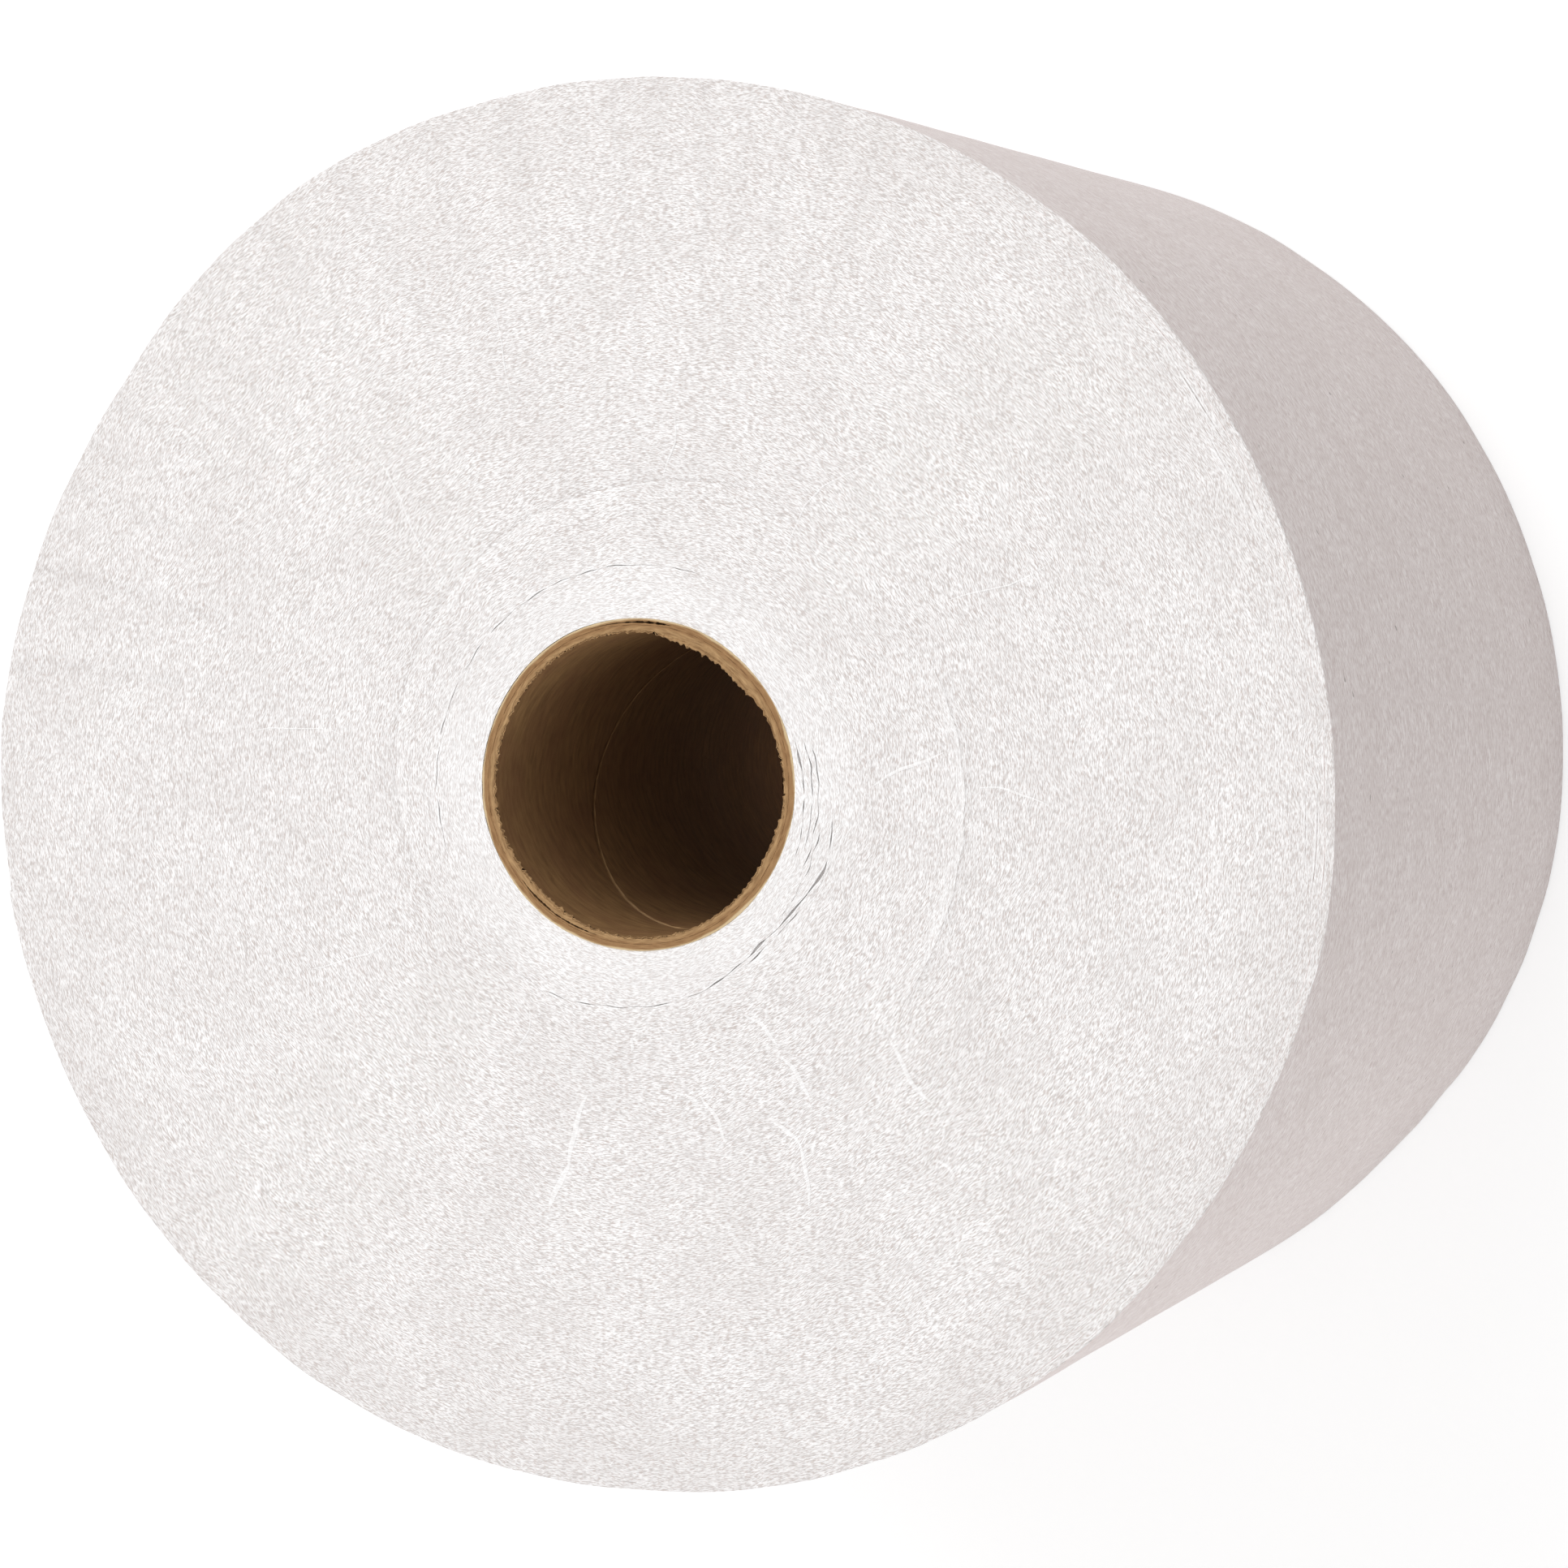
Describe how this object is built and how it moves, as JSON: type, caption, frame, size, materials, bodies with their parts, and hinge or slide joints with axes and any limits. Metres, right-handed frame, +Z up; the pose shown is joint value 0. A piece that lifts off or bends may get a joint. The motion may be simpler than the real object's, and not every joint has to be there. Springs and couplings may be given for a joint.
{
  "type": "paper towel roll",
  "caption": "Wide roll of white paper towelling wound tightly on a plain paperboard core, standing on its end.",
  "frame": {"origin": "middle of the lower end, on the core's axis, in the plane that the roll stands on", "axes": "+Z up along the core; the web's loose end lies on the +Y side; seen from above the web winds outwards clockwise"},
  "size_m": [0.2318, 0.2316, 0.2032],
  "materials": {
    "tissue": "matte",
    "paperboard": "matte"
  },
  "bodies": {
    "root": {"wound_paper": "tissue", "core_tube": "paperboard"}
  },
  "joints": []
}
